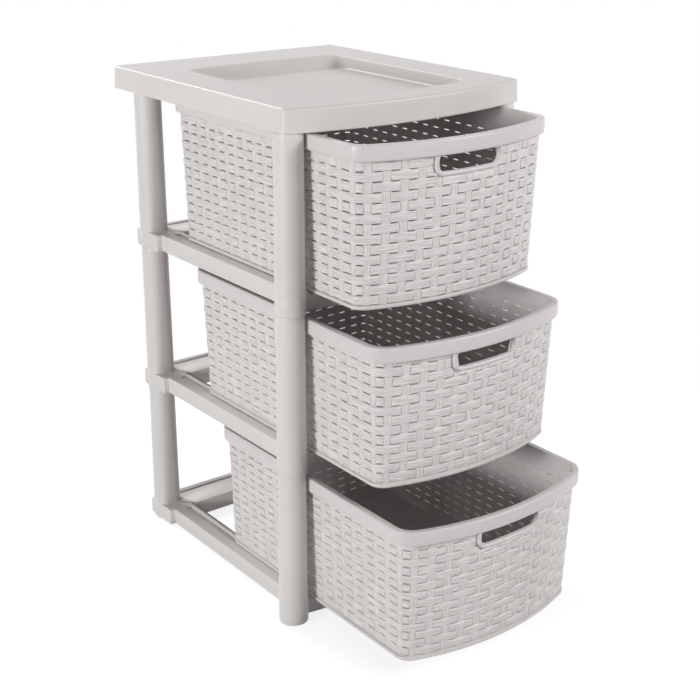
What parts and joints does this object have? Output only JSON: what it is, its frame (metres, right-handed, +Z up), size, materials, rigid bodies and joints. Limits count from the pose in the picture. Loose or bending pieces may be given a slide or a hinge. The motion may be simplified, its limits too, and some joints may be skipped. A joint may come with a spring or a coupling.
{
  "type": "plastic drawer tower",
  "caption": "Free-standing plastic drawer tower: tubular posts, ring shelves, a bowed tray-topped cover and woven-look drawers that slide forward.",
  "frame": {"origin": "on the floor, under the middle of the whole tower with its drawers as stored, which is half way across it", "axes": "+X to the right of someone facing the drawers, -Y out of the front, +Z up"},
  "size_m": [0.3346, 0.5555, 0.609],
  "materials": {
    "frame_plastic": "satin",
    "drawer_plastic": "satin",
    "foot_rubber": "matte"
  },
  "bodies": {
    "frame": {"cover": "frame_plastic", "shelf_upper": "frame_plastic", "shelf_lower": "frame_plastic", "base": "frame_plastic", "post_top_front_left": "frame_plastic", "post_top_front_right": "frame_plastic", "post_top_back_left": "frame_plastic", "post_top_back_right": "frame_plastic", "post_middle_front_left": "frame_plastic", "post_middle_front_right": "frame_plastic", "post_middle_back_left": "frame_plastic", "post_middle_back_right": "frame_plastic", "post_bottom_front_left": "frame_plastic", "post_bottom_front_right": "frame_plastic", "post_bottom_back_left": "frame_plastic", "post_bottom_back_right": "frame_plastic", "foot_front_left": "foot_rubber", "foot_front_right": "foot_rubber", "foot_back_left": "foot_rubber", "foot_back_right": "foot_rubber"},
    "top_drawer": {"drawer_top": "drawer_plastic"},
    "middle_drawer": {"drawer_middle": "drawer_plastic"},
    "bottom_drawer": {"drawer_bottom": "drawer_plastic"}
  },
  "joints": [
    {"name": "top_slide", "type": "slide", "parent": "frame", "child": "top_drawer", "axis": [0, -1, 0], "range_m": [-0.034, 0.216]},
    {"name": "middle_slide", "type": "slide", "parent": "frame", "child": "middle_drawer", "axis": [0, -1, 0], "range_m": [-0.071, 0.179]},
    {"name": "bottom_slide", "type": "slide", "parent": "frame", "child": "bottom_drawer", "axis": [0, -1, 0], "range_m": [-0.12, 0.13]}
  ]
}
